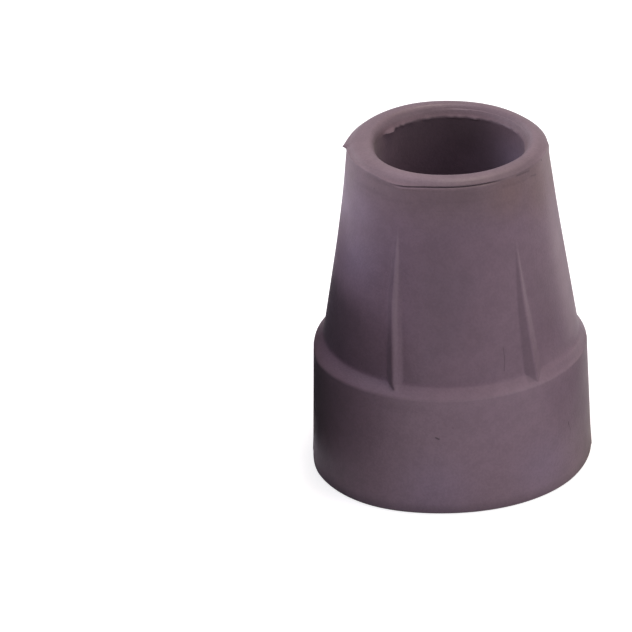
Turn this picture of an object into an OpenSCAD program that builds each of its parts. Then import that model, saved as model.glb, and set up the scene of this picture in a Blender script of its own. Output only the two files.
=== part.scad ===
// Rubber tip for the foot of a walking cane: one moulding with a blind
// socket above, a grooved tread below and four gusset ribs on its skirt.
// The base rests on the XY plane and the socket opens upwards, along +Z.

/* [Socket] */
// Diameter of the socket, which is that of the shaft it grips
socket_d = 19; // [15:0.5:20]
// Depth of the socket below the lip
socket_depth = 32; // [24:0.5:36]
// Radius round the socket's floor
socket_floor_r = 1.5; // [0.5:0.25:3]
// Width of the lead-in at the mouth
lead_in_w = 0.9; // [0.25:0.05:1]
// Height of the lead-in, from the socket's wall to the lip's land
lead_in_h = 1.15; // [0.5:0.05:3]
// Radius that eases the lead-in
lead_in_r = 0.8; // [0.2:0.1:1.5]

/* [Lip and sleeve] */
// Height of the tip to the corner of its crest, just above the rounded top
body_h = 44.3; // [42:0.1:60]
// Diameter across the outer edge of the lip
lip_d = 25.4; // [24.4:0.2:30]
// Width of the sloping border of the lip
lip_border_w = 1.1; // [0.4:0.1:1.4]
// Drop of the lip from its crest to its outer edge
lip_border_h = 0.85; // [0.2:0.05:1.2]
// Dip of the lip's land from its crest to the lead-in
land_dip = 0.2; // [0:0.05:0.4]
// Radius that rounds the lip's crest
lip_crest_r = 1.2; // [0.2:0.1:3]
// Radius of the lip's outer edge
lip_edge_r = 0.25; // [0.1:0.05:0.5]
// Height of the sleeve, the slimmer taper under the lip
sleeve_h = 8; // [5:0.5:12]
// Diameter where the sleeve runs into the skirt
waist_d = 27.2; // [26.4:0.2:30]
// Radius that blends the sleeve and the skirt
waist_r = 120; // [20:5:150]

/* [Collar] */
// Diameter of the base
base_d = 36.2; // [34.8:0.1:44]
// Radius of the edge round the base
base_edge_r = 0.4; // [0.2:0.1:1.5]
// Height of the collar up to its shoulder
collar_h = 15.9; // [12:0.1:20]
// Draft of the collar in degrees
collar_draft = 2; // [0.25:0.25:3]
// Width of the sloping shoulder on top of the collar
shoulder_w = 1.15; // [0.6:0.05:2]
// Height of the sloping shoulder on top of the collar
shoulder_h = 1.5; // [0.8:0.05:3]
// Radius of the shoulder's outer edge
shoulder_edge_r = 0.5; // [0.1:0.1:1]
// Radius in the corner between the shoulder and the skirt
skirt_foot_r = 0.35; // [0.1:0.05:1]

/* [Gusset ribs] */
// Angle between the two ribs on one half of the tip
rib_spread = 65.5; // [50:0.5:90]
// Turn of the ribs about the axis, in degrees from the front
rib_turn = 5.5; // [-45:0.5:45]
// Height of a rib from the top of the shoulder to its point
rib_rise = 19; // [10:0.5:22]
// How far a rib stands out of the skirt at its foot
rib_proud = 0.65; // [0.3:0.05:1]
// Width across a rib's ridge faces
rib_w = 2.8; // [1:0.1:4]
// Slope of a rib's ridge faces in degrees
rib_pitch = 23; // [15:1:45]
// Radius along a rib's ridge
rib_ridge_r = 0.5; // [0.1:0.05:1]

/* [Tread] */
// Number of ring grooves in the tread
groove_count = 2; // [1:1:2]
// Diameter of the disc inside the first groove
tread_disc_d = 10.6; // [6:0.2:14]
// Width of a groove at the tread's face
groove_w = 1.9; // [1:0.1:3]
// Width of the land between grooves
land_w = 3.4; // [2:0.1:4]
// Depth of the grooves
groove_depth = 2.2; // [1:0.1:4]
// Draft of a groove's walls in degrees
groove_draft = 8; // [2:1:12]
// Radius in the bottom corners of a groove
groove_r = 0.4; // [0.1:0.05:0.6]
// Radius of a groove's edges at the tread's face
groove_edge_r = 0.25; // [0.1:0.05:0.5]

/* [Hidden] */

rubber = [0.43, 0.36, 0.40];
arc_step = 12;                // degrees of arc for each chord of a rounded corner
max_corner_share = 0.48;      // share of an edge that a rounded corner may use
rib_root = 3;                 // depth to which a rib is buried in the wall

socket_r = socket_d / 2;
socket_floor_z = body_h - socket_depth;
mouth_r = socket_r + lead_in_w;
land_z = body_h - land_dip;
lip_r = lip_d / 2;
lip_edge_z = body_h - lip_border_h;
waist_z = lip_edge_z - sleeve_h;
base_r = base_d / 2;
collar_top_r = base_r - collar_h * tan(collar_draft);
skirt_r = collar_top_r - shoulder_w;
skirt_z = collar_h + shoulder_h;

// Radius of the outer face at height z, from the skirt's foot to the lip
function flank_r(z) = lookup(z, [[skirt_z, skirt_r], [waist_z, waist_d / 2], [lip_edge_z, lip_r]]);

function unit(v) = v / norm(v);

// An angle brought into the half turn either side of zero
function short_way(a) = a > 180 ? a - 360 : a < -180 ? a + 360 : a;

// Chords of an arc of radius r that rounds the corner p between its neighbours a and b.
// The arc is tangent to both edges and keeps within its share of the shorter one.
function corner(a, p, b, r) =
    let (
        u = unit(a - p),
        w = unit(b - p),
        half = acos(u * w) / 2,
        reach = min(r / tan(half), max_corner_share * min(norm(a - p), norm(b - p))),
        rr = reach * tan(half),
        centre = p + unit(u + w) * rr / sin(half),
        from = p + u * reach - centre,
        to = p + w * reach - centre,
        start = atan2(from[1], from[0]),
        sweep = short_way(atan2(to[1], to[0]) - start),
        n = max(2, ceil(abs(sweep) / arc_step))
    )
    [for (i = [0:n]) centre + rr * [cos(start + sweep * i / n), sin(start + sweep * i / n)]];

// The outline of a path of [x, y, corner radius], with each corner rounded
function rounded(path) =
    let (n = len(path), xy = [for (q = path) [q[0], q[1]]])
    [for (i = [0:n - 1])
        each path[i][2] == 0 ? [xy[i]] : corner(xy[(i + n - 1) % n], xy[i], xy[(i + 1) % n], path[i][2])];

// Path of one ring groove whose inner edge has radius r
function groove_path(r) =
    let (lean = groove_depth * tan(groove_draft))
    [
        [r, 0, groove_edge_r],
        [r + lean, groove_depth, groove_r],
        [r + groove_w - lean, groove_depth, groove_r],
        [r + groove_w, 0, groove_edge_r]
    ];

// Half of the section through the axis, outwards along the tread, up the outside and down the socket
section_path = concat(
    [[0, 0, 0]],
    [for (i = [0:groove_count - 1]) each groove_path(tread_disc_d / 2 + i * (groove_w + land_w))],
    [
        [base_r, 0, base_edge_r],
        [collar_top_r, collar_h, shoulder_edge_r],
        [skirt_r, skirt_z, skirt_foot_r],
        [waist_d / 2, waist_z, waist_r],
        [lip_r, lip_edge_z, lip_edge_r],
        [lip_r - lip_border_w, body_h, lip_crest_r],
        [mouth_r, land_z, lead_in_r],
        [socket_r, land_z - lead_in_h, lead_in_r],
        [socket_r, socket_floor_z, socket_floor_r],
        [0, socket_floor_z, 0]
    ]
);

// The moulding without its ribs
module turned_body() {
    rotate_extrude($fn = 144)
        polygon(rounded(section_path));
}

// Section of a rib with its ridge at the origin: two sloping faces over straight sides
module rib_section() {
    half = rib_w / 2;
    eave = -half * tan(rib_pitch);
    polygon(rounded([
        [-half, -rib_root, 0],
        [half, -rib_root, 0],
        [half, eave, rib_ridge_r / 2],
        [0, 0, rib_ridge_r],
        [-half, eave, rib_ridge_r / 2]
    ]));
}

// One gusset rib on the front of the skirt. Its ridge runs straight from a point
// on the flank down to the shoulder, and it leans out more than the skirt does.
module gusset_rib() {
    top_z = skirt_z + rib_rise;
    top_r = flank_r(top_z);
    drop = top_z - collar_h;
    lean = atan((skirt_r + rib_proud - top_r) / rib_rise);
    translate([0, -top_r, top_z])
        rotate([180 - lean, 0, 0])
            linear_extrude(height = drop / cos(lean))
                rib_section();
}

// Both pairs of ribs, kept inside the collar's edge
module gusset_ribs() {
    intersection() {
        for (half_turn = [0, 180], side = [-1, 1])
            rotate([0, 0, rib_turn + half_turn + side * rib_spread / 2])
                gusset_rib();
        translate([0, 0, collar_h])
            cylinder(h = body_h - collar_h, r = collar_top_r - shoulder_edge_r / 2, $fn = 144);
    }
}

// The whole tip, moulded in one piece
module ferrule() {
    color(rubber)
        union() {
            turned_body();
            gusset_ribs();
        }
}

ferrule();
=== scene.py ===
import logging
import math
from dataclasses import dataclass
from enum import Enum

import bmesh
import bpy
import numpy as np
from mathutils import Matrix, Vector


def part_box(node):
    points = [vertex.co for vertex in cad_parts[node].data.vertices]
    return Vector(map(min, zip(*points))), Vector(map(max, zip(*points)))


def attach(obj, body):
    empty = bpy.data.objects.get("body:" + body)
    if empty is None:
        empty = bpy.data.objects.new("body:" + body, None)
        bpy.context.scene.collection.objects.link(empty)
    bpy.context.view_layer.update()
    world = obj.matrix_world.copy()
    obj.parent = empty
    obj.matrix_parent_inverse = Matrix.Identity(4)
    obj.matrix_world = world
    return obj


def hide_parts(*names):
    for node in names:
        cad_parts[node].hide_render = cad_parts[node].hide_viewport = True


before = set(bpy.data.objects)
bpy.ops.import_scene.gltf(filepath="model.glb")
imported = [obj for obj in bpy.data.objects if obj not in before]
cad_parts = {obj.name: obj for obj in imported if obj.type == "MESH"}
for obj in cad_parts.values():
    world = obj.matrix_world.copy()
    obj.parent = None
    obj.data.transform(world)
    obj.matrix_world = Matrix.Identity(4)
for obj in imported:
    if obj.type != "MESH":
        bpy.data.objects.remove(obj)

LOG = logging.getLogger("cane_tip")

MM = 0.001
NODE = "ferrule"
BODY = "root"
# The paler mark is some dusting and mostly painted light and highlights; the darker mark is painted shade.
WEAR_AND_LIGHT = "wear_and_light"
PAINTED_SHADE = "grime_and_painted_shade"
MARK_LIMIT = 1.6
BASE_INSET = 0.1

Span = tuple[float, float]
Place = tuple[float, float, float]
Colour = tuple[float, float, float]
Node = bpy.types.Node
Socket = bpy.types.NodeSocket
Value = float | tuple | Socket


class Zone(Enum):
    """Parts of the moulding's section, each with its own spacing of rings in mm."""

    TREAD = 0.75
    COLLAR = 1.3
    SKIRT = 0.62
    CREASE = 0.055
    LIP = 0.13
    SOCKET = 3.0


@dataclass
class Corner:
    """A corner of the section: its radius and height, its rounding, and the zone of the edge that ends there.

    Sizes are in mm. The rounding is the distance along each edge at which the arc begins.
    """

    r: float
    z: float
    reach: float = 0.0
    zone: Zone = Zone.TREAD
    arcs: int = 5

    def place(self) -> Vector:
        """Its place in metres, to the right of the axis."""
        return Vector((self.r, 0.0, self.z)) * MM


@dataclass
class Section:
    """Half of the moulding's section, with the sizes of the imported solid, in mm."""

    base_r: float
    top_z: float
    skirt_r: float = 16.395
    skirt_z: float = 17.4
    collar_r: float = 17.49
    collar_z: float = 15.9
    waist_r: float = 13.54
    waist_z: float = 35.45
    lip_r: float = 12.63
    lip_z: float = 43.4
    crest_r: float = 11.58
    mouth_r: float = 10.4
    mouth_edge_z: float = 42.72
    socket_r: float = 9.5
    socket_z: float = 12.3
    groove_r: tuple[float, float] = (5.3, 10.6)
    groove_w: float = 1.9
    groove_depth: float = 2.2
    groove_lean: float = 0.31

    def tread(self) -> list[Corner]:
        """The tread's part of the section.

        Returns:
            Its corners from the axis outwards, with the gate mark and the grooves.
        """
        path = [
            Corner(0.0, 0.05),
            Corner(0.16, 0.05, 0.05, Zone.TREAD, 2),
            Corner(0.26, 0.16, 0.05, Zone.TREAD, 2),
            Corner(0.55, 0.16, 0.1, Zone.TREAD, 2),
            Corner(0.85, 0.0, 0.15, Zone.TREAD, 3),
        ]
        for r in self.groove_r:
            deep, out = self.groove_depth, r + self.groove_w
            path += [Corner(r, 0.0, 0.2), Corner(r + self.groove_lean, deep, 0.38),
                     Corner(out - self.groove_lean, deep, 0.38), Corner(out, 0.0, 0.2)]
        return path

    def outside(self) -> list[Corner]:
        """The outer part of the section.

        Returns:
            Corners of the collar, the shoulder and the skirt up to the crease under the lip.
        """
        return [
            Corner(self.base_r - 0.9, 0.0, 0.4, Zone.TREAD, 4),
            Corner(self.base_r - 0.02, 0.05, 0.22, Zone.TREAD, 6),
            Corner(self.collar_r, self.collar_z, 0.2, Zone.COLLAR, 5),
            Corner(self.skirt_r, self.skirt_z, 0.28, Zone.LIP, 5),
            Corner(self.waist_r, self.waist_z, 6.0, Zone.SKIRT, 10),
            Corner(self.lip_r + 0.075, self.lip_z - 0.68, 0.0, Zone.SKIRT),
            Corner(self.lip_r, self.lip_z, 0.12, Zone.CREASE, 4),
        ]

    def inside(self) -> list[Corner]:
        """The inner part of the section.

        Returns:
            Corners of the crowned lip, its lead-in and the socket down to the axis.
        """
        return [
            Corner(self.crest_r, self.top_z + 0.08, 0.85, Zone.LIP, 12),
            Corner(self.mouth_r, self.top_z - 0.16, 0.5, Zone.LIP, 8),
            Corner(self.socket_r, self.mouth_edge_z, 0.3, Zone.LIP, 6),
            Corner(self.socket_r, self.mouth_edge_z - 1.1, 0.0, Zone.LIP),
            Corner(self.socket_r, self.socket_z, 1.5, Zone.SOCKET, 6),
            Corner(0.0, self.socket_z, 0.0, Zone.SOCKET),
        ]

    def corners(self) -> list[Corner]:
        """All corners, from the axis under the tread round to the axis in the socket."""
        return self.tread() + self.outside() + self.inside()

    def flank(self, z: np.ndarray) -> np.ndarray:
        """Radius of the skirt and the sleeve, with the skirt run on below its foot.

        Args:
            z: Heights in mm.

        Returns:
            The radius at each height in mm.
        """
        slope = (self.skirt_r - self.waist_r) / (self.waist_z - self.skirt_z)
        upper = (self.waist_r - self.lip_r) / (self.lip_z - self.waist_z)
        return np.where(z < self.waist_z, self.waist_r + slope * (self.waist_z - z),
                        self.waist_r - upper * (z - self.waist_z))


@dataclass
class Rings:
    """Points of the turned body in mm as azimuth, radius and height, which the details move.

    Azimuth is in degrees from the front, growing to the right. Each point also carries a paler mark, some
    dusting and mostly painted light and highlights, and a darker mark of painted shade.
    """

    azimuth: np.ndarray
    r: np.ndarray
    z: np.ndarray
    wear_and_light: np.ndarray
    grime_and_painted_shade: np.ndarray

    @classmethod
    def of(cls, mesh: bpy.types.Mesh) -> "Rings":
        """Reads the points of a mesh.

        Args:
            mesh: The mesh of the turned body.

        Returns:
            Its points, without paler or darker marks.
        """
        flat = np.empty(len(mesh.vertices) * 3)
        mesh.vertices.foreach_get("co", flat)
        x, y, z = flat.reshape(-1, 3).T / MM
        clean = np.zeros(len(x))
        return cls(np.degrees(np.arctan2(x, -y)), np.hypot(x, y), z.copy(), clean, clean.copy())

    def write(self, mesh: bpy.types.Mesh) -> None:
        """Writes the points back, with their paler marks and their painted shade as attributes.

        Args:
            mesh: The mesh that they came from.
        """
        turn = np.radians(self.azimuth)
        points = np.stack([self.r * np.sin(turn), -self.r * np.cos(turn), self.z], axis=1) * MM
        mesh.vertices.foreach_set("co", points.ravel())
        for name, values in ((WEAR_AND_LIGHT, self.wear_and_light), (PAINTED_SHADE, self.grime_and_painted_shade)):
            layer = mesh.attributes.new(name, "FLOAT", "POINT")
            layer.data.foreach_set("value", np.clip(values, 0.0, MARK_LIMIT))
        mesh.update()

    def apart(self, azimuth: float | np.ndarray) -> np.ndarray:
        """Degrees from a given azimuth, the short way round."""
        return (self.azimuth - azimuth + 180.0) % 360.0 - 180.0

    def hill(self, azimuth: float, width: float, z: float | None = None, height: float = 1.0) -> np.ndarray:
        """A soft mask that is 1 at a place and fades away from it.

        Args:
            azimuth: Azimuth of the place in degrees.
            width: Width over which it fades, in degrees.
            z: Height of the place in mm, or None for a mask over every height.
            height: Height over which it fades, in mm.

        Returns:
            The mask at each point.
        """
        far = (self.apart(azimuth) / width) ** 2
        if z is not None:
            far = far + ((self.z - z) / height) ** 2
        return np.exp(-far)

    def outer(self, section: Section) -> np.ndarray:
        """Mask of the points on the outside of the skirt, the sleeve and the shoulder."""
        inside_limits = (self.z > section.collar_z - 0.4) & (self.z < section.lip_z + 0.1)
        return inside_limits & (self.r > section.lip_r - 0.3)


def fade(x: np.ndarray, start: float, end: float) -> np.ndarray:
    """A smooth step.

    Args:
        x: Values, such as heights or azimuths.
        start: Value up to which the step is 0.
        end: Value from which it is 1.

    Returns:
        The step at each value.
    """
    share = np.clip((x - start) / (end - start), 0.0, 1.0)
    return share * share * (3.0 - 2.0 * share)


def between(x: np.ndarray, rise: Span, fall: Span) -> np.ndarray:
    """A mask that is 1 from the end of its rise to the start of its fall."""
    return fade(x, *rise) * (1.0 - fade(x, *fall))


def peak(x: np.ndarray, centre: float, width: float) -> np.ndarray:
    """A soft peak that is 1 at its centre and fades over its width."""
    return np.exp(-(((x - centre) / width) ** 2))


@dataclass(frozen=True)
class Patch:
    """A soft patch of the tip's side: its amount, and its azimuth and width in degrees.

    Its height and reach are in mm. Without a height it runs over every height.
    """

    amount: float
    azimuth: float
    width: float
    z: float | None = None
    reach: float = 1.0

    def over(self, rings: Rings) -> np.ndarray:
        """Its amount at each point."""
        return self.amount * rings.hill(self.azimuth, self.width, self.z, self.reach)


@dataclass(frozen=True)
class Wave:
    """A slow wave round the tip: its share, its lobes, its start in radians and its twist per mm up."""

    share: float
    lobes: int
    start: float
    twist: float = 0.0

    def over(self, rings: Rings) -> np.ndarray:
        """Its height at each point."""
        turn = self.lobes * np.radians(rings.azimuth)
        return self.share * np.sin(turn + self.start + rings.z * self.twist)


class Detail:
    """Something that is worked into the turned body."""

    def work(self, rings: Rings, section: Section) -> None:
        """Moves or marks the points.

        Args:
            rings: The points of the turned body.
            section: The sizes of the moulding.
        """
        raise NotImplementedError


@dataclass
class GussetRib(Detail):
    """A low ridge that grows out of the skirt towards its foot.

    Its path gives the ridge's azimuth in degrees at heights in mm, from its foot up to its point. Its other
    sizes are in mm, apart from the slope of its faces. Its foot is as proud and as wide as it gets, the crest
    rounds its ridge, the blend softens its edges and the onset is the height of its point. A highlight is
    painted on its ridge and lit face, weaker towards its foot, and shade is painted along the foot of its
    other face.
    """

    path: tuple[tuple[float, float], ...]
    proud: float = 0.62
    half_base: float = 1.45
    slope: float = 0.42
    crest: float = 0.05
    blend: float = 0.07
    onset: float = 0.03
    ridge_highlight: float = 0.4
    highlight_at_foot: float = 0.35
    highlight_heights: Span = (18.0, 27.0)
    highlight_rise: Span = (-0.22, 0.02)
    side_shade: float = 0.25
    side_shade_fall: Span = (-0.28, -0.1)

    def azimuth(self) -> float:
        """Azimuth about which the rib lies."""
        turns = [turn for _, turn in self.path]
        return (min(turns) + max(turns)) / 2

    def work(self, rings: Rings, section: Section) -> None:
        """Moves the points near the rib out to its faces, paints a highlight on its ridge and lit face, and
        paints shade along its other side.

        Args:
            rings: The points of the turned body.
            section: The sizes of the moulding.
        """
        low, top = section.skirt_z, self.path[-1][0]
        ridge = np.interp(rings.z, [z for z, _ in self.path], [turn for _, turn in self.path])
        drop = np.clip((top - rings.z) / (top - low), 0.0, 1.1)
        lift = self.proud * drop + self.onset * fade(drop, 0.0, 0.06)
        free = np.maximum(lift / self.slope, 1e-6)
        half = (free**-6 + self.half_base**-6) ** (-1 / 6)
        side = np.radians(rings.apart(ridge)) * rings.r
        across = np.sqrt(side**2 + self.crest**2) - self.crest
        face = section.flank(rings.z) + lift * (1.0 - across / half)
        reach = (across < half * 1.6 + 0.1) & rings.outer(section) & (rings.z < top)
        near = np.maximum(self.blend - np.abs(face - rings.r), 0.0) / self.blend
        soft = near**3 * self.blend / 6.0 * np.clip(drop * 4.0, 0.0, 1.0)
        raised = np.maximum(rings.r, face) + soft
        rings.r[reach] = raised[reach]
        long = np.clip(drop * 8.0, 0.0, 1.0) * rings.outer(section) * (rings.z < top)
        long = long * fade(rings.z, low - 1.1, low - 0.8)
        # Painted highlight on the ridge and the lit face.
        lit_face = between(side, self.highlight_rise, (0.5 * half, 0.95 * half))
        share = self.highlight_at_foot + (1.0 - self.highlight_at_foot) * fade(rings.z, *self.highlight_heights)
        rings.wear_and_light += self.ridge_highlight * long * lit_face * share
        # Painted shade along the foot of the shaded face.
        rings.grime_and_painted_shade += self.side_shade * long * between(side, (-half - 0.15, -half + 0.1), self.side_shade_fall)


@dataclass
class LipCrease(Detail):
    """The fine crease under the front of the lip and the bead below it, in mm and degrees.

    The crease is deep at the front, and runs on faintly to its left and in one place at its right. Shade is
    painted into the crease and a highlight onto the bead.
    """

    depth: float = 0.2
    drop: float = 0.1
    width: float = 0.08
    bead: float = 0.05
    bead_drop: float = 0.34
    bead_width: float = 0.13
    bead_highlight: float = 0.19
    left_end: Span = (-36.0, -26.0)
    right_end: Span = (22.0, 36.0)
    faint_end: Span = (-62.0, -44.0)
    faint_share: float = 0.2
    faint_right: Patch = Patch(0.3, 47.0, 8.0)

    def work(self, rings: Rings, section: Section) -> None:
        """Moves the rings under the lip's edge in and out, paints shade into the crease and a highlight on
        the bead.

        Args:
            rings: The points of the turned body.
            section: The sizes of the moulding.
        """
        outside = rings.outer(section) & (rings.z > section.lip_z - 0.7)
        strong = between(rings.azimuth, self.left_end, self.right_end)
        faint = self.faint_share * between(rings.azimuth, self.faint_end, self.left_end)
        share = strong + (faint + self.faint_right.over(rings))
        below = section.lip_z - rings.z
        groove = peak(below, self.drop, self.width)
        bead = peak(below, self.bead_drop, self.bead_width)
        move = -self.depth * groove * share + self.bead * bead * strong
        rings.r[outside] += move[outside]
        # Painted shade in the crease.
        rings.grime_and_painted_shade[outside] += (groove * share)[outside]
        # Painted highlight on the bead.
        rings.wear_and_light[outside] += (self.bead_highlight * bead * strong)[outside]


@dataclass
class TornMouth(Detail):
    """The torn skin of rubber that the core pin leaves on the lead-in's lower edge, in mm and degrees.

    Each of its uneven runs has a share and a spacing, and it leans in by a share of the tear.
    """

    tear: float = 0.21
    tear_drop: float = 0.1
    everywhere: float = 0.1
    behind: float = 0.8
    behind_ends: Span = (112.0, 130.0)
    left: tuple[Patch, ...] = (Patch(0.8, -56.0, 8.0), Patch(0.4, -132.0, 14.0))
    edge_height: float = 0.2
    flap: float = 0.18
    flap_azimuth: float = -125.5
    flap_width: float = 6.5
    flap_drop: float = 0.05
    flap_highlight: float = 0.1
    runs: tuple[tuple[float, float], ...] = ((0.6, 7.0), (0.5, 2.7))
    lean_in: float = 0.3
    seed: int = 11

    def ragged(self, azimuth: np.ndarray, spacing: float) -> np.ndarray:
        """An uneven run of values from -1 to 1 round the mouth.

        Args:
            azimuth: Azimuths of the points in degrees.
            spacing: Degrees from one value to the next.

        Returns:
            The value at each point.
        """
        knots = int(360 / spacing)
        values = np.random.default_rng(self.seed + knots).uniform(-1.0, 1.0, knots)
        places = np.linspace(-180.0, 180.0, knots, endpoint=False)
        return np.interp(azimuth, places, values, period=360.0)

    def work(self, rings: Rings, section: Section) -> None:
        """Pushes the mouth's inner edge in and down by an uneven amount, with one loose flap on which a
        highlight is painted.

        Args:
            rings: The points of the turned body.
            section: The sizes of the moulding.
        """
        wave = sum(share * self.ragged(rings.azimuth, spacing) for share, spacing in self.runs)
        torn = self.everywhere + self.behind * fade(np.abs(rings.azimuth), *self.behind_ends)
        share = np.clip(torn + sum(patch.over(rings) for patch in self.left), 0.0, 1.4)
        near = peak(rings.z, section.mouth_edge_z, self.edge_height) * (rings.r < section.mouth_r)
        tongue = np.exp(-((rings.apart(self.flap_azimuth) / self.flap_width) ** 4))
        rings.r -= (self.tear * share * np.clip(self.lean_in + wave, -0.2, 1.2) + self.flap * tongue) * near
        rings.z -= (self.tear_drop * share * wave + self.flap_drop * tongue) * near
        # Painted highlight on the loose flap.
        rings.wear_and_light += self.flap_highlight * tongue * near


@dataclass
class PartingFlash(Detail):
    """The thin fins of rubber where the halves of the mould meet, at both sides, in mm and degrees."""

    left: float = -90.0
    right: float = 90.0
    lip_fin: float = 0.6
    lip_fin_run: float = 40.0
    lip_fin_height: float = 0.28
    nub: float = 0.1
    nub_width: float = 1.6
    nub_drop: float = 0.6
    nub_height: float = 0.5
    base_fins: tuple[Patch, ...] = (Patch(0.09, right, 1.5, 0.7, 0.9), Patch(0.054, left, 1.5, 0.6, 0.8))
    line: float = 0.03
    line_width: float = 0.9

    def work(self, rings: Rings, section: Section) -> None:
        """Pulls fins out of the lip's edge and the base's edge, and a fine line from one to the other.

        Args:
            rings: The points of the turned body.
            section: The sizes of the moulding.
        """
        outside = rings.r > section.lip_r - 0.6
        ahead = rings.apart(self.left)
        run = np.clip(1.0 + ahead / self.lip_fin_run, 0.0, 1.0) ** 4.5 * (1.0 - fade(ahead, 0.0, 1.6))
        edge = peak(rings.z, section.lip_z, self.lip_fin_height)
        rings.r[outside] += (self.lip_fin * run * edge)[outside]
        nub = rings.hill(self.right, self.nub_width, section.lip_z - self.nub_drop, self.nub_height)
        rings.r[outside] += (self.nub * nub)[outside]
        rings.r[outside] += sum(fin.over(rings) for fin in self.base_fins)[outside]
        for side in (self.left, self.right):
            rings.r[outside] += (self.line * peak(rings.apart(side), 0.0, self.line_width))[outside]


@dataclass
class Handling(Detail):
    """Dusting that use leaves, paler patches, painted light, painted highlights and painted shade: how strong
    each is, and where.
    """

    shoulder_dust_and_light: float = 0.36
    shoulder_edge_highlight: float = 0.65
    shoulder_side_highlight: Patch = Patch(0.6, 70.0, 10.0)
    foot_dust_and_light: Patch = Patch(0.36, 60.0, 20.0)
    foot_dust_and_light_height: float = 3.2
    collar_shade: Patch = Patch(0.28, 88.0, 11.0)
    base_edge_highlight: Patch = Patch(0.25, -45.0, 30.0)
    base_edge_z: float = 0.5
    base_shadow: float = 0.9
    base_shadow_end: Span = (0.1, 0.42)
    edge_width: float = 0.16
    seam_highlight: Patch = Patch(1.15, 72.5, 8.5)
    seam_heights: Span = (30.0, 40.0)
    seam_loss: float = 0.45
    lip_paler: tuple[Patch, ...] = (Patch(0.4, -33.0, 16.0), Patch(0.4, 98.0, 26.0))
    under_lip_paler: Patch = Patch(0.3, -50.0, 26.0)
    lip_front_shade: float = 0.12
    lip_edge_shade: float = 0.24
    lip_shade_ends: tuple[Span, Span] = ((-30.0, -5.0), (45.0, 75.0))
    mouth_shade: Patch = Patch(0.14, 180.0, 50.0)
    bore_shade: float = 0.6
    bore_shade_azimuth: float = 185.0
    bore_shade_ends: Span = (65.0, 25.0)
    bore_shade_heights: Span = (36.0, 41.5)
    bore_painted_light: float = 0.3

    def work(self, rings: Rings, section: Section) -> None:
        """Marks what use leaves on each part of the tip, and paints light and shade onto it.

        Args:
            rings: The points of the turned body.
            section: The sizes of the moulding.
        """
        self.mark_collar(rings, section)
        self.mark_lip(rings, section)
        # Painted highlight along the right side of the skirt, weaker towards the lip.
        skirt = (rings.r > section.lip_r - 0.2) * fade(rings.z, section.skirt_z, section.skirt_z + 2.0)
        seam = self.seam_highlight.over(rings) * (1.0 - self.seam_loss * fade(rings.z, *self.seam_heights))
        rings.wear_and_light += seam * skirt
        # Painted shade at the back of the bore, stronger towards the mouth, and painted light over the whole
        # bore.
        bore = (rings.r < section.socket_r + 0.3) * (rings.z < section.mouth_edge_z + 0.1)
        behind = fade(np.abs(rings.apart(self.bore_shade_azimuth)), *self.bore_shade_ends)
        rings.grime_and_painted_shade += self.bore_shade * bore * behind * fade(rings.z, *self.bore_shade_heights)
        rings.wear_and_light += self.bore_painted_light * bore * (rings.z > section.socket_z)

    def mark_collar(self, rings: Rings, section: Section) -> None:
        """Marks the shoulder and the skirt's foot with dusting and painted light, paints highlights on the
        shoulder's edge, its right side and the base's edge, and paints shade on the collar's right side and
        the bottom edge.

        Args:
            rings: The points of the turned body.
            section: The sizes of the moulding.
        """
        z, out = rings.z, rings.r > section.skirt_r - 0.4
        top = 1.0 - fade(z, section.skirt_z - 0.3, section.skirt_z)
        # Dusting on the shoulder, with painted light where it faces up.
        rings.wear_and_light += self.shoulder_dust_and_light * fade(z, section.collar_z, section.collar_z + 0.2) * top * out
        # Painted highlight along the shoulder's lower edge.
        rings.wear_and_light += self.shoulder_edge_highlight * peak(z, section.collar_z - 0.05, self.edge_width) * out
        # Dusting and painted light at the foot of the skirt on the right.
        foot = (1.0 - top) * fade(z, section.skirt_z + self.foot_dust_and_light_height, section.skirt_z)
        rings.wear_and_light += self.foot_dust_and_light.over(rings) * foot * rings.outer(section)
        rim = fade(rings.r, section.base_r - 1.4, section.base_r - 0.6)
        # Painted contact shadow along the bottom edge.
        rings.grime_and_painted_shade += self.base_shadow * (1.0 - fade(z, *self.base_shadow_end)) * rim
        # Painted shade on the collar's right side.
        low = fade(z, section.skirt_z + 0.3, section.collar_z)
        rings.grime_and_painted_shade += self.collar_shade.over(rings) * low * out
        # Painted highlight on the shoulder's right side.
        slope = fade(z, section.collar_z - 0.2, section.collar_z) * top
        rings.wear_and_light += self.shoulder_side_highlight.over(rings) * slope * out
        # Painted highlight along the base's edge at the left front.
        rings.wear_and_light += self.base_edge_highlight.over(rings) * peak(z, self.base_edge_z, self.edge_width) * out

    def mark_lip(self, rings: Rings, section: Section) -> None:
        """Paints shade on the front of the lip, darker towards its edge, and on the mouth's inner slope at
        the back;
        makes the lip paler at its left front and right, and the skirt paler under the lip at its left front.

        Args:
            rings: The points of the turned body.
            section: The sizes of the moulding.
        """
        lip = (rings.z > section.lip_z - 0.05) * (rings.r > section.mouth_r - 0.2)
        front = between(rings.azimuth, *self.lip_shade_ends)
        edge = fade(rings.r, section.crest_r, section.lip_r - 0.3)
        # Painted shade on the front of the lip, darker towards its outer edge.
        rings.grime_and_painted_shade += (self.lip_front_shade + self.lip_edge_shade * edge) * front * lip
        # Paler patches on the lip at its left front and its right.
        rings.wear_and_light += sum(patch.over(rings) for patch in self.lip_paler) * lip
        # Paler under the lip at its left front.
        under = fade(rings.z, section.lip_z - 3.4, section.lip_z - 0.8) * rings.outer(section)
        rings.wear_and_light += self.under_lip_paler.over(rings) * under
        # Painted shade on the mouth's inner slope at the back.
        inner = fade(rings.r, section.crest_r - 0.4, section.mouth_r) * (rings.z > section.mouth_edge_z)
        rings.grime_and_painted_shade += self.mouth_shade.over(rings) * inner


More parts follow.
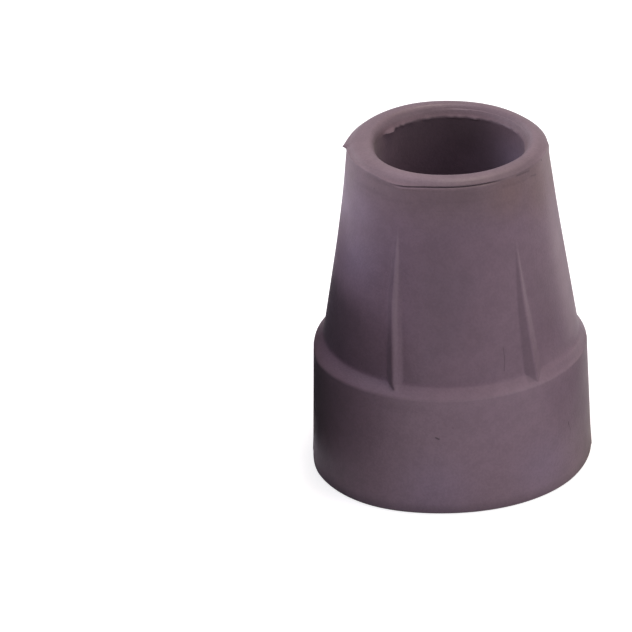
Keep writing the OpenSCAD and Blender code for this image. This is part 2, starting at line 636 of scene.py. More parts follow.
@dataclass
class HandMade(Detail):
    """The soft unevenness of a moulded body that has stood under load. Sizes are in mm.

    Outside its still radius the collar bulges and splays at its left front and is dented low at its right.
    The rim is uneven in height and width, and the mouth is tighter at its left.
    """

    wander: float = 0.035
    waves: tuple[Wave, ...] = (Wave(0.5, 3, 0.7, 0.11), Wave(0.3, 5, -1.3, -0.19), Wave(0.2, 9, 0.0, 0.43))
    still_r: float = 15.0
    lip_bulge: Patch = Patch(0.11, -90.0, 34.0)
    lip_bulge_heights: Span = (36.0, 43.0)
    skirt_dent: Patch = Patch(0.1, -90.0, 40.0)
    collar_bulge: Patch = Patch(0.65, -55.0, 34.0)
    collar_bulge_end: Span = (-96.0, -68.0)
    base_splay: Patch = Patch(0.38, -32.0, 22.0)
    base_dent: Patch = Patch(0.13, 72.0, 16.0)
    foot_fill: Patch = Patch(0.25, 64.0, 20.0)
    foot_height: float = 1.4
    rim_wave: float = 0.03
    rim_waves: tuple[Wave, ...] = (Wave(1.0, 2, 0.5), Wave(0.6, 7, 1.9))
    rim_drop: float = 0.6
    rim_dip: Patch = Patch(0.08, 155.0, 30.0)
    rim_wide: Patch = Patch(0.1, -140.0, 40.0)
    rim_narrow: Patch = Patch(0.24, 124.0, 30.0)
    rim_low: float = 38.0
    mouth_tight: Patch = Patch(1.2, -95.0, 28.0)

    def work(self, rings: Rings, section: Section) -> None:
        """Moves the outside and then the rim."""
        self.shape_outside(rings, section)
        self.shape_rim(rings, section)

    def shape_outside(self, rings: Rings, section: Section) -> None:
        """Moves the outside by slow waves, and bulges and dents it.

        Args:
            rings: The points of the turned body.
            section: The sizes of the moulding.
        """
        z, flank = rings.z, rings.outer(section)
        rings.r[flank] += self.wander * sum(wave.over(rings) for wave in self.waves)[flank]
        bulge = self.lip_bulge.over(rings) * fade(z, *self.lip_bulge_heights)
        dent = self.skirt_dent.over(rings) * fade(z, section.collar_z, section.skirt_z)
        dent = dent * np.clip((section.lip_z - z) / (section.lip_z - section.skirt_z), 0.0, 1.0)
        rings.r[flank] += (bulge - dent)[flank]
        collar = fade(z, section.skirt_z, section.collar_z) * fade(rings.r, self.still_r, section.skirt_r)
        rings.r += self.collar_bulge.over(rings) * fade(rings.azimuth, *self.collar_bulge_end) * collar
        low = np.clip(1.0 - z / section.collar_z, 0.0, 1.0) * fade(rings.r, self.still_r, section.skirt_r)
        rings.r += (self.base_splay.over(rings) - self.base_dent.over(rings)) * low
        foot = np.clip(1.0 - (z - section.skirt_z + 0.2) / self.foot_height, 0.0, 1.0) ** 2
        foot = foot * fade(rings.r, section.collar_r - 0.1, section.skirt_r + 0.2)
        rings.r[flank] += (self.foot_fill.over(rings) * foot)[flank]

    def shape_rim(self, rings: Rings, section: Section) -> None:
        """Makes the rim uneven in height and width, and draws the mouth's edge in at the left.

        Args:
            rings: The points of the turned body.
            section: The sizes of the moulding.
        """
        lip = (rings.z >= section.lip_z - 0.02) & (rings.r > section.socket_r + 0.6)
        swell = sum(wave.over(rings) for wave in self.rim_waves) - self.rim_drop
        rings.z[lip] += (self.rim_wave * swell - self.rim_dip.over(rings))[lip]
        uneven = self.rim_wide.over(rings) - self.rim_narrow.over(rings)
        outer = (rings.r > section.mouth_r) * fade(rings.z, self.rim_low, section.lip_z)
        rings.r += uneven * outer * fade(rings.r, section.mouth_r, section.crest_r)
        wide = section.crest_r - section.socket_r
        share = np.clip((rings.r - section.socket_r) / wide, 0.0, 1.0)
        tight = share ** (1.0 + self.mouth_tight.over(rings))
        rings.r += wide * (tight - share) * (rings.z > section.mouth_edge_z - 0.3)


@dataclass
class Askew(Detail):
    """What has shifted on the tip, in mm: the lip sags at its left front, and the core stood off the axis.

    The cone stands a little to the right on the collar and leans, by a share of its height.
    """

    lip_sag: Patch = Patch(0.45, -31.0, 13.0)
    core_shift: float = 0.15
    cone_shift: float = 0.06
    lean: float = 0.007

    def work(self, rings: Rings, section: Section) -> None:
        """Lets the lip sag, and moves the socket and then the whole cone to the right.

        Args:
            rings: The points of the turned body.
            section: The sizes of the moulding.
        """
        turn = np.radians(rings.azimuth)
        edge = fade(rings.z, section.lip_z - 2.6, section.lip_z - 0.1)
        edge = edge * (1.0 - fade(rings.z, section.lip_z + 0.15, section.top_z))
        rings.z -= self.lip_sag.over(rings) * edge * (rings.r > section.crest_r - 0.3)
        core = 1.0 - fade(rings.r, section.mouth_r - 0.3, section.crest_r - 0.1)
        move = self.core_shift * core * (rings.z > section.socket_z - 1.0)
        move = move + self.cone_shift * fade(rings.z, section.collar_z, section.skirt_z)
        move = move + self.lean * np.maximum(rings.z - section.collar_z, 0.0)
        across, along = rings.r * np.sin(turn) + move, rings.r * np.cos(turn)
        rings.azimuth = np.degrees(np.arctan2(across, along))
        rings.r = np.hypot(across, along)


class Effect(Enum):
    """Surface effects, each a shader group that the finishes share."""

    GRAIN = "moulded_grain"
    CLOUDS = "cloudy_mix"
    STREAKS = "mould_streaks"
    SPECKS = "trapped_specks"
    BAND = "height_band"
    MARK = "round_mark"
    LINE = "scratch_line"


class Tree:
    """Short calls for the nodes of a material or a shader group."""

    def __init__(self, tree: bpy.types.NodeTree) -> None:
        """Works on a node tree."""
        self.tree = tree

    def add(self, kind: str, **inputs: Value) -> Node:
        """Adds a node.

        Args:
            kind: The node's type without its leading words.
            inputs: Values or sockets for its inputs, named as feed names them.

        Returns:
            The new node.
        """
        node = self.tree.nodes.new("ShaderNode" + kind)
        self.feed(node, **inputs)
        return node

    def feed(self, node: Node, **inputs: Value) -> None:
        """Sets inputs of a node, or joins sockets to them.

        Args:
            node: The node.
            inputs: Values or sockets for its inputs; in_0 is the first, and other names have _ for spaces.
        """
        for name, value in inputs.items():
            key = int(name[3:]) if name.startswith("in_") else name.replace("_", " ")
            if isinstance(value, Socket):
                self.tree.links.new(value, node.inputs[key])
            else:
                node.inputs[key].default_value = value

    def math(self, operation: str, *values: float | Socket) -> Socket:
        """Adds a Math node.

        Args:
            operation: What it does.
            values: Its values in order.

        Returns:
            Its result.
        """
        node = self.add("Math", **{f"in_{i}": value for i, value in enumerate(values)})
        node.operation = operation
        return node.outputs[0]

    def vector(self, operation: str, a: Socket, b: Socket) -> Socket:
        """Adds a Vector Math node.

        Args:
            operation: What it does.
            a: Its first vector.
            b: Its second vector, or the number for SCALE.

        Returns:
            Its result.
        """
        node = self.add("VectorMath")
        node.operation = operation
        self.tree.links.new(a, node.inputs[0])
        self.tree.links.new(b, node.inputs["Scale" if operation == "SCALE" else 1])
        return node.outputs["Value" if operation in ("DISTANCE", "DOT_PRODUCT") else "Vector"]

    def ramp(self, value: Socket, low: float | Socket, high: float | Socket) -> Socket:
        """A smooth step of a value.

        Args:
            value: The value.
            low: Where the step is 0.
            high: Where it is 1.

        Returns:
            The step.
        """
        node = self.add("MapRange", Value=value, From_Min=low, From_Max=high)
        node.interpolation_type = "SMOOTHSTEP"
        return node.outputs["Result"]

    def spread(self, value: Socket, low: float, high: float) -> Socket:
        """A value from 0 to 1 spread between two others."""
        return self.add("MapRange", Value=value, To_Min=low, To_Max=high).outputs["Result"]

    def mix(self, share: float | Socket, a: Value, b: Value, blend: str = "MIX") -> Socket:
        """Mixes two colours.

        Args:
            share: Share of the second colour.
            a: The first colour.
            b: The second colour.
            blend: The way of mixing.

        Returns:
            The mixed colour.
        """
        node = self.add("Mix")
        node.data_type = "RGBA"
        node.blend_type = blend
        self.feed(node, Factor=share, in_6=a, in_7=b)
        return node.outputs[2]

    def coat(self, colour: Socket, mask: Socket, tint: Colour, share: float = 1.0) -> Socket:
        """Lays a share of a tint over a colour where a mask is."""
        return self.mix(self.math("MULTIPLY", mask, share), colour, (*tint, 1.0))

    def vary(self, colour: Socket, value: Socket, swing: float) -> Socket:
        """Makes a colour darker and lighter with a value, by up to a share of it."""
        return self.mix(1.0, colour, self.spread(value, 1.0 - swing, 1.0 + swing), "MULTIPLY")

    def attribute(self, name: str) -> Socket:
        """Reads a value that the mesh carries.

        Args:
            name: The attribute's name.

        Returns:
            The value.
        """
        node = self.add("Attribute")
        node.attribute_name = name
        return node.outputs["Fac"]

    def effect(self, effect: Effect, **inputs: Value) -> Node:
        """Places a shared shader group with its own values.

        Args:
            effect: The effect that the group makes.
            inputs: Values or sockets for its inputs, named as feed names them.

        Returns:
            The group's node.
        """
        node = self.add("Group")
        node.node_tree = EffectShelf.get(effect)
        self.feed(node, **inputs)
        return node

    def mask(self, effect: Effect, **inputs: Value) -> Socket:
        """Places a shared shader group and gives its mask."""
        return self.effect(effect, **inputs).outputs["Mask"]


class EffectShelf:
    """Makes each shader group once and keeps it."""

    @classmethod
    def get(cls, effect: Effect) -> bpy.types.NodeTree:
        """Finds a shader group, which is made when it is first asked for.

        Args:
            effect: The effect that the group makes.

        Returns:
            The group.
        """
        if effect.value not in bpy.data.node_groups:
            getattr(cls, effect.name.lower())()
        return bpy.data.node_groups[effect.value]

    @staticmethod
    def start(effect: Effect, inputs: dict[str, float | None], outputs: tuple[str, ...] = ("Mask",)) -> tuple:
        """Starts a shader group.

        Args:
            effect: The effect that the group is for.
            inputs: Names of its inputs with their usual values, or None for a vector.
            outputs: Names of its outputs, each a number.

        Returns:
            The group's Tree, the sockets of its inputs by name, and its output node.
        """
        group = bpy.data.node_groups.new(effect.value, "ShaderNodeTree")
        for name, value in inputs.items():
            kind = "NodeSocketVector" if value is None else "NodeSocketFloat"
            socket = group.interface.new_socket(name, in_out="INPUT", socket_type=kind)
            if value is not None:
                socket.default_value = value
        for name in outputs:
            group.interface.new_socket(name, in_out="OUTPUT", socket_type="NodeSocketFloat")
        given = group.nodes.new("NodeGroupInput")
        return Tree(group), given.outputs, group.nodes.new("NodeGroupOutput")

    @classmethod
    def grain(cls) -> None:
        """Fine grain of a moulded face: two sizes of soft bumps."""
        tree, given, made = cls.start(Effect.GRAIN, {"Place": None, "Per Metre": 3500.0}, ("Height", "Shade"))
        place, scale = given["Place"], given["Per Metre"]
        fine = tree.add("TexNoise", Vector=place, Scale=scale, Detail=2.0, Roughness=0.6)
        wide = tree.add("TexNoise", Vector=place, Scale=tree.math("MULTIPLY", scale, 0.22), Detail=2.0)
        both = tree.math("ADD", tree.math("MULTIPLY", fine.outputs["Fac"], 0.6),
                         tree.math("MULTIPLY", wide.outputs["Fac"], 0.4))
        tree.feed(made, Height=both, Shade=tree.ramp(both, 0.38, 0.62))

    @classmethod
    def clouds(cls) -> None:
        """Soft cloudy patches, as a mask."""
        tree, given, made = cls.start(
            Effect.CLOUDS, {"Place": None, "Per Metre": 90.0, "From": 0.42, "To": 0.62, "Turn": 0.0})
        noise = tree.add("TexNoise", Vector=given["Place"], Scale=given["Per Metre"], Detail=3.0,
                         Roughness=0.55, Distortion=0.4)
        noise.noise_dimensions = "4D"
        tree.feed(noise, W=given["Turn"])
        tree.feed(made, Mask=tree.ramp(noise.outputs["Fac"], given["From"], given["To"]))

    @classmethod
    def streaks(cls) -> None:
        """Fine level lines that the mould's turning leaves, as a height and a mask."""
        tree, given, made = cls.start(Effect.STREAKS, {"Place": None, "Per Metre": 2600.0},
                                      ("Height", "Mask"))
        long = tree.add("Mapping", Vector=given["Place"], Scale=(0.035, 0.035, 1.0)).outputs["Vector"]
        noise = tree.add("TexNoise", Vector=long, Scale=given["Per Metre"], Detail=2.0).outputs["Fac"]
        tree.feed(made, Height=noise, Mask=tree.ramp(noise, 0.52, 0.72))

    @classmethod
    def specks(cls) -> None:
        """Rare small specks trapped in the rubber, as a mask."""
        tree, given, made = cls.start(
            Effect.SPECKS, {"Place": None, "Per Metre": 260.0, "Size": 0.035, "Share": 0.04})
        cells = tree.add("TexVoronoi", Vector=given["Place"], Scale=given["Per Metre"])
        chosen = tree.add("SeparateColor", Color=cells.outputs["Color"])
        rare = tree.math("LESS_THAN", chosen.outputs["Red"], given["Share"])
        small = tree.ramp(cells.outputs["Distance"], given["Size"], 0.0)
        tree.feed(made, Mask=tree.math("MULTIPLY", rare, small))

    @classmethod
    def band(cls) -> None:
        """A mask that grows with height between two levels, with a wavy edge."""
        tree, given, made = cls.start(Effect.BAND, {"Place": None, "From": 0.0, "To": 1.0, "Waver": 0.004})
        split = tree.add("SeparateXYZ", Vector=given["Place"])
        noise = tree.add("TexNoise", Vector=given["Place"], Scale=110.0, Detail=2.0)
        swing = tree.math("SUBTRACT", noise.outputs["Fac"], 0.5)
        level = tree.math("ADD", split.outputs["Z"], tree.math("MULTIPLY", swing, given["Waver"]))
        tree.feed(made, Mask=tree.ramp(level, given["From"], given["To"]))

    @classmethod
    def mark(cls) -> None:
        """A small round mark at one place, as a mask."""
        tree, given, made = cls.start(Effect.MARK, {"Place": None, "Centre": None, "Radius": 0.0003})
        away = tree.vector("DISTANCE", given["Place"], given["Centre"])
        tree.feed(made, Mask=tree.ramp(away, given["Radius"], 0.0))

    @classmethod
    def line(cls) -> None:
        """A short straight line between two places, as a mask."""
        tree, given, made = cls.start(
            Effect.LINE, {"Place": None, "Start": None, "End": None, "Width": 0.0001})
        here = tree.vector("SUBTRACT", given["Place"], given["Start"])
        whole = tree.vector("SUBTRACT", given["End"], given["Start"])
        share = tree.math("DIVIDE", tree.vector("DOT_PRODUCT", here, whole),
                          tree.vector("DOT_PRODUCT", whole, whole))
        share.node.use_clamp = True
        away = tree.vector("DISTANCE", here, tree.vector("SCALE", whole, share))
        tree.feed(made, Mask=tree.ramp(away, given["Width"], 0.0))


def outside_place(azimuth: float, out: float, z: float) -> Place:
    """A place in metres.

    Args:
        azimuth: Its azimuth in degrees.
        out: Its distance from the axis in mm.
        z: Its height in mm.

    Returns:
        The place.
    """
    turn = math.radians(azimuth)
    return (out * math.sin(turn) * MM, -out * math.cos(turn) * MM, z * MM)


@dataclass(frozen=True)
class Spot:
    """A round spot: its azimuth in degrees, and its distance from the axis, height and radius in mm."""

    azimuth: float
    out: float
    z: float
    radius: float

    def mask(self, tree: Tree, place: Socket) -> Socket:
        """Its mask in a material."""
        centre = outside_place(self.azimuth, self.out, self.z)
        return tree.mask(Effect.MARK, Place=place, Centre=centre, Radius=self.radius * MM)


@dataclass(frozen=True)
class Scratch:
    """A straight scratch between two places, each an azimuth in degrees, a radius and a height in mm."""

    start: Place
    end: Place
    width: float = 0.12

    def mask(self, tree: Tree, place: Socket) -> Socket:
        """Its mask in a material."""
        return tree.mask(Effect.LINE, Place=place, Start=outside_place(*self.start),
                         End=outside_place(*self.end), Width=self.width * MM)


@dataclass(frozen=True)
class Marks:
    """Spots and scratches of one kind: their linear tint, the share of it that shows, and where they are."""

    tint: Colour
    share: float
    places: tuple[Spot | Scratch, ...]

    def lay(self, tree: Tree, place: Socket, colour: Socket) -> Socket:
        """Lays the marks over a colour.

        Args:
            tree: The material's tree.
            place: The place on the piece.
            colour: The colour under them.

        Returns:
            The colour with the marks.
        """
        whole = self.places[0].mask(tree, place)
        for spot in self.places[1:]:
            whole = tree.math("MAXIMUM", whole, spot.mask(tree, place))
        return tree.coat(colour, whole, self.tint, self.share)


@dataclass(frozen=True)
class RubberFinish:
    """Finish of the moulded rubber: its linear tints, its sheen, its grain and its marks, with the painted
    light and shade that it lays over them.

    Lengths are in metres, apart from those of its marks.
    """

    mauve: Colour = (0.166, 0.110, 0.142)
    brown: Colour = (0.160, 0.107, 0.122)
    rim: Colour = (0.180, 0.130, 0.146)
    collar: Colour = (0.194, 0.134, 0.168)
    mauve_cool: Colour = (0.162, 0.110, 0.145)
    # A pale tint for dusting and painted light, and a dark tint for marks and painted shade.
    dust_and_light: Colour = (0.37, 0.29, 0.315)
    grime_and_painted_shade: Colour = (0.055, 0.036, 0.045)
    dust_and_light_share: float = 0.3
    painted_shade_share: float = 0.8
    streak_share: float = 0.12
    speck_share: float = 0.5
    mottle: float = 0.06
    drift: float = 0.035
    roughness: float = 0.5
    rougher: float = 0.07
    smoother: float = 0.05
    specular: float = 0.45
    sheen: float = 0.1
    sheen_roughness: float = 0.5
    collar_edge: Span = (0.0172, 0.0150)
    brown_edge: Span = (0.036, 0.0435)
    rim_edge: Span = (0.0430, 0.0436)
    grain_depth: float = 0.00004
    streak_depth: float = 0.35
    # Painted cool light: lilac patches on the upper left where cool light falls, and on the collar's foot
    # where the floor lights it.
    painted_cool_light: Marks = Marks((0.200, 0.146, 0.200), 0.75, (
        Spot(-8.0, 17.9, 3.4, 7.5), Spot(41.0, 17.9, 3.8, 7.0), Spot(-58.0, 13.2, 39.0, 5.5),
        Spot(-56.0, 14.0, 32.0, 6.0), Spot(-82.0, 13.3, 39.0, 4.5),
    ))
    # Painted light on the bore's inner walls at the right and the left.
    bore_wall_light: Marks = Marks((0.34, 0.275, 0.36), 0.8, (
        Spot(112.0, 9.6, 38.0, 10.0), Spot(-80.0, 9.6, 39.5, 8.0),
    ))
    stains: Marks = Marks((0.165, 0.104, 0.1), 0.65, (
        Spot(84.0, 13.0, 40.0, 6.5), Spot(62.0, 13.0, 40.3, 6.5), Spot(38.0, 13.0, 41.5, 5.0),
    ))
    # Smudges, and one band of painted shade.
    smears_and_shade: Marks = Marks(grime_and_painted_shade, 0.16, (
        Scratch((33.0, 12.9, 42.5), (50.0, 13.0, 42.2), 0.3),
        # Painted shade where the lip's edge rounds away at its left front.
        Scratch((-33.0, 12.7, 42.7), (-52.0, 12.7, 42.9), 0.45),
        Scratch((-58.0, 12.9, 41.4), (-36.0, 12.9, 41.2), 0.4),
        Scratch((-40.0, 12.85, 40.7), (-20.0, 12.85, 41.0), 0.35),
        Scratch((8.5, 14.0, 33.0), (3.0, 15.4, 24.0), 2.2),
        Scratch((-4.0, 13.9, 33.5), (0.0, 15.3, 24.5), 5.5),
        Scratch((52.0, 14.9, 27.8), (52.0, 15.4, 24.0), 4.5),
        Scratch((-14.0, 13.1, 41.6), (10.0, 13.1, 41.6), 2.0),
    ))
    faint: Marks = Marks(grime_and_painted_shade, 0.55, (
        Scratch((24.9, 15.77, 21.6), (25.2, 15.95, 20.4), 0.1),
        Scratch((25.2, 15.95, 20.4), (24.5, 16.22, 18.6), 0.13),
        Scratch((42.7, 12.85, 43.22), (52.9, 12.93, 43.09), 0.2),
        Scratch((54.3, 12.98, 42.29), (59.2, 13.02, 42.0), 0.18),
        Scratch((57.3, 17.73, 8.0), (58.4, 17.76, 7.1), 0.13),
        Spot(-46.0, 12.72, 41.6, 0.2),
        Spot(-52.0, 12.76, 41.1, 0.16),
    ))
    clear: Marks = Marks(grime_and_painted_shade, 1.0, (
        Scratch((-6.7, 17.73, 10.78), (-5.5, 17.73, 10.6), 0.2),
        Spot(0.4, 17.66, 12.13, 0.1),
        Scratch((57.0, 17.72, 8.45), (57.2, 17.72, 8.05), 0.14),
        Spot(67.5, 12.88, 43.2, 0.24),
    ))

    def material(self) -> bpy.types.Material:
        """Makes the rubber's material.

        Returns:
            The material.
        """
        mat = bpy.data.materials.new("moulded_rubber")
        mat.use_nodes = True
        mat.diffuse_color = (*self.mauve, 1.0)
        tree = Tree(mat.node_tree)
        shader = mat.node_tree.nodes["Principled BSDF"]
        place = tree.add("TexCoord").outputs["Object"]
        grain = tree.effect(Effect.GRAIN, Place=place, Per_Metre=3200.0)
        tree.feed(shader, Base_Color=self.colour(tree, place, grain.outputs["Shade"]))
        rough = tree.mask(Effect.CLOUDS, Place=place, Per_Metre=160.0, From=0.3, To=0.7, Turn=5.0)
        rough = tree.spread(rough, self.roughness - self.smoother, self.roughness + self.rougher)
        bump = tree.add("Bump", Height=self.relief(tree, place, grain.outputs["Height"]), Strength=1.0,
                        Distance=self.grain_depth)
        tree.feed(shader, Roughness=rough, Normal=bump.outputs["Normal"], Specular_IOR_Level=self.specular,
                  Sheen_Weight=self.sheen, Sheen_Roughness=self.sheen_roughness)
        return mat

    def band(self, tree: Tree, place: Socket, edge: Span, **waver: float) -> Socket:
        """A mask that grows over the height of an edge, in metres."""
        return tree.mask(Effect.BAND, Place=place, From=edge[0], To=edge[1], **waver)

    def colour(self, tree: Tree, place: Socket, shade: Socket) -> Socket:
        """The colour: cloudy mauve, browner at the rim, with painted cool light, paler with dusting and
        painted light, darker with painted shade, and its marks.

        Args:
            tree: The material's tree.
            place: The place on the piece.
            shade: The grain's shade.

        Returns:
            The colour.
        """
        clouds = tree.mask(Effect.CLOUDS, Place=place, Per_Metre=75.0, From=0.42, To=0.68)
        colour = tree.mix(clouds, (*self.mauve, 1.0), (*self.mauve_cool, 1.0))
        colour = tree.coat(colour, self.band(tree, place, self.collar_edge, Waver=0.001), self.collar)
        # Lays the painted cool light and the painted light in the bore.
        for marks in (self.painted_cool_light, self.bore_wall_light):
            colour = marks.lay(tree, place, colour)
        upper = self.band(tree, place, self.brown_edge, Waver=0.006)
        colour = tree.coat(colour, upper, self.brown)
        colour = self.stains.lay(tree, place, colour)
        colour = tree.coat(colour, self.band(tree, place, self.rim_edge, Waver=0.0003), self.rim)
        streaks = tree.math("MULTIPLY", tree.mask(Effect.STREAKS, Place=place), upper)
        colour = tree.coat(colour, streaks, self.grime_and_painted_shade, self.streak_share)
        colour = tree.vary(colour, shade, self.mottle)
        broad = tree.mask(Effect.CLOUDS, Place=place, Per_Metre=260.0, From=0.3, To=0.7, Turn=9.0)
        colour = tree.vary(colour, broad, self.drift)
        # Lays the paler mark (dusting, painted light and highlights) and then the painted shade that the mesh
        # carries.
        colour = tree.coat(colour, tree.attribute(WEAR_AND_LIGHT), self.dust_and_light, self.dust_and_light_share)
        colour = tree.coat(colour, tree.attribute(PAINTED_SHADE), self.grime_and_painted_shade, self.painted_shade_share)
        colour = tree.coat(colour, tree.mask(Effect.SPECKS, Place=place), self.grime_and_painted_shade, self.speck_share)
        for marks in (self.smears_and_shade, self.faint, self.clear):
            colour = marks.lay(tree, place, colour)
        return colour

    def relief(self, tree: Tree, place: Socket, grain: Socket) -> Socket:
        """The height that the bump reads: grain, and level lines towards the rim.

        Args:
            tree: The material's tree.
            place: The place on the piece.
            grain: The grain's height.

        Returns:
            The height.
        """
        streaks = tree.effect(Effect.STREAKS, Place=place).outputs["Height"]
        lines = tree.math("MULTIPLY", streaks, self.band(tree, place, self.brown_edge))
        return tree.math("ADD", grain, tree.math("MULTIPLY", lines, self.streak_depth))


@dataclass
class MouldedTip:
    """The whole tip: a body of revolution, with the ribs, the flash and the marks that are worked into it.

    Its coarse and fine steps and the half width of a rib's sector are in degrees.
    """

    section: Section
    finish: RubberFinish
    ribs: list[GussetRib]
    coarse: float = 1.2
    fine: float = 0.36
    rib_sector: float = 7.4
    seam: float = 90.0
    smooth_below: float = 50.0

    def details(self) -> list[Detail]:
        """What is worked into the turned body, in order."""
        return [HandMade(), *self.ribs, LipCrease(), TornMouth(), PartingFlash(), Handling(), Askew()]

    def build(self) -> bpy.types.Object:
        """Draws the section, turns it, shapes the details and dresses the piece.

        Returns:
            The piece.
        """
        piece = self.draw_section()
        self.turn(piece)
        self.shape(piece)
        piece.data.materials.append(self.finish.material())
        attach(piece, BODY)
        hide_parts(NODE)
        return piece

    def draw_section(self) -> bpy.types.Object:
        """Draws the half section as a chain of edges to the right of the axis.

        Returns:
            The new object, in edit mode.
        """
        bpy.ops.object.select_all(action="DESELECT")
        corners = self.section.corners()
        edges = list(zip(corners, corners[1:]))
        bpy.ops.mesh.primitive_plane_add(size=MM, location=(corners[0].r * MM, 0.0, corners[0].z * MM))
        piece = bpy.context.object
        piece.name = piece.data.name = "moulded_tip"
        bpy.ops.object.transform_apply(location=True, rotation=True, scale=True)
        bpy.ops.object.mode_set(mode="EDIT")
        bpy.ops.mesh.select_mode(type="VERT")
        bpy.ops.mesh.select_all(action="SELECT")
        bpy.ops.mesh.merge(type="CENTER")
        for a, b in edges:
            step = ((b.r - a.r) * MM, 0.0, (b.z - a.z) * MM)
            bpy.ops.mesh.extrude_vertices_move(TRANSFORM_OT_translate={"value": step})
        for corner in corners:
            if corner.reach:
                self.pick_point(piece, corner)
                bpy.ops.mesh.bevel(offset_type="OFFSET", offset=corner.reach * MM, segments=corner.arcs,
                                   profile=0.5, affect="VERTICES", clamp_overlap=False)
        self.space_rings(piece, edges)
        return piece

    @staticmethod
    def pick_point(piece: bpy.types.Object, corner: Corner) -> None:
        """Selects only the point that lies at a corner.

        Args:
            piece: The object, in edit mode.
            corner: The corner.
        """
        mesh = bmesh.from_edit_mesh(piece.data)
        for vert in mesh.verts:
            vert.select = (vert.co - corner.place()).length < 1e-6
        mesh.select_flush_mode()
        bmesh.update_edit_mesh(piece.data)

    @staticmethod
    def space_rings(piece: bpy.types.Object, edges: list[tuple[Corner, Corner]]) -> None:
        """Cuts the section's straight edges so that the rings lie no further apart than their zone says.

        Args:
            piece: The object, in edit mode.
            edges: The edges of the section before its corners were rounded.
        """
        mesh = bmesh.from_edit_mesh(piece.data)
        wanted: dict[int, list[set[tuple]]] = {}
        for edge in mesh.edges:
            a, b = (vert.co for vert in edge.verts)
            limit = min((q.zone.value for p, q in edges
                         if MouldedTip.on_edge(a, p, q) and MouldedTip.on_edge(b, p, q)), default=None)
            if limit is None:
                continue
            cuts = math.ceil((a - b).length / MM / limit - 0.01) - 1
            if cuts > 0:
                wanted.setdefault(cuts, []).append({a.to_tuple(7), b.to_tuple(7)})
        for cuts, ends in wanted.items():
            mesh = bmesh.from_edit_mesh(piece.data)
            bpy.ops.mesh.select_all(action="DESELECT")
            bpy.ops.mesh.select_mode(type="EDGE")
            for edge in mesh.edges:
                edge.select_set({vert.co.to_tuple(7) for vert in edge.verts} in ends)
            bmesh.update_edit_mesh(piece.data)
            bpy.ops.mesh.subdivide(number_cuts=cuts)
        bpy.ops.mesh.select_mode(type="VERT")

    @staticmethod
    def on_edge(point: Vector, a: Corner, b: Corner) -> bool:
        """Whether a point lies on the straight line between two corners.

        Args:
            point: The point in metres.
            a: The first corner.
            b: The second corner.

        Returns:
            True where it does.
        """
        start = a.place()
        along = b.place() - start
        share = (point - start).dot(along) / along.length_squared
        return -0.001 < share < 1.001 and (point - start - along * share).length < 2e-6

    def sectors(self) -> list[tuple[float, int]]:
        """Plans the spins, from the parting line on the right all the way round.

        Returns:
            The angle in degrees and the number of steps of each spin.
        """
        edges = [self.seam]
        for middle in sorted(self.seam + (rib.azimuth() - self.seam) % 360.0 for rib in self.ribs):
            edges += [middle - self.rib_sector, middle + self.rib_sector]
        edges.append(self.seam + 360.0)
        spans = [b - a for a, b in zip(edges, edges[1:])]
        steps = [self.fine if i % 2 else self.coarse for i in range(len(spans))]
        return [(span, math.ceil(span / step)) for span, step in zip(spans, steps)]

    def turn(self, piece: bpy.types.Object) -> None:
        """Spins the section round the axis, with finer steps where the ribs are, and closes the seam.

        Args:
            piece: The section, in edit mode. It is left in object mode.
        """
        bpy.ops.mesh.select_all(action="SELECT")
        for span, steps in self.sectors():
            bpy.ops.mesh.spin(steps=steps, angle=-math.radians(span), center=(0.0, 0.0, 0.0),
                              axis=(0.0, 0.0, 1.0))
        bpy.ops.mesh.select_all(action="SELECT")
        bpy.ops.mesh.remove_doubles(threshold=0.004 * MM)
        bpy.ops.mesh.normals_make_consistent(inside=False)
        bpy.ops.object.mode_set(mode="OBJECT")

    def shape(self, piece: bpy.types.Object) -> None:
        """Works the details into the turned body, and smooths it.

        Args:
            piece: The turned body.
        """
        rings = Rings.of(piece.data)
        for detail in self.details():
            detail.work(rings, self.section)
        rings.write(piece.data)
        bpy.ops.object.select_all(action="DESELECT")
        piece.select_set(True)
        bpy.context.view_layer.objects.active = piece
        bpy.ops.object.shade_smooth_by_angle(angle=math.radians(self.smooth_below))


def add_object(name: str, data: bpy.types.ID) -> bpy.types.Object:
    """Adds a light or a camera to the scene.

    Args:
        name: The object's name.
        data: What it holds.

    Returns:
        The new object.
    """
    added = bpy.data.objects.new(name, data)
    bpy.context.collection.objects.link(added)
    return added


@dataclass
class Softbox:
    """A soft area light: where it stands as azimuth and elevation in degrees, and its strength.

    Distance and width are in metres. Its colour is linear.
    """

    name: str
    azimuth: float
    elevation: float
    power: float
    width: float = 0.4
    distance: float = 0.9
    colour: Colour = (1.0, 1.0, 1.0)

    def build(self, target: Vector) -> bpy.types.Object:
        """Adds the light, turned to the target.

        Args:
            target: The middle of what it lights, in metres.

        Returns:
            The light.
        """
        a, e = math.radians(self.azimuth), math.radians(self.elevation)
        out = Vector((math.sin(a) * math.cos(e), -math.cos(a) * math.cos(e), math.sin(e)))
        data = bpy.data.lights.new(self.name, "AREA")
        data.shape = "DISK"
        data.size = self.width
        data.energy = self.power
        data.color = self.colour
        light = add_object(self.name, data)
        light.location = target + out * self.distance
        light.rotation_euler = out.to_track_quat("Z", "Y").to_euler()
        return light


@dataclass(frozen=True)
class Card:
    """An upright black card that shades one side of the tip: its middle and its size in metres."""

    name: str
    middle: Place
    height: float
    width: float

    def build(self, material: bpy.types.Material) -> None:
        """Stands the card up, out of the camera's sight.

        Args:
            material: The card's material.
        """
        bpy.ops.object.select_all(action="DESELECT")
        bpy.ops.mesh.primitive_plane_add(size=1.0, location=self.middle, rotation=(0.0, math.pi / 2, 0.0))
        flag = bpy.context.object
        flag.name = self.name
        flag.scale = (self.height, self.width, 1.0)
        flag.visible_camera = False
        flag.data.materials.append(material)


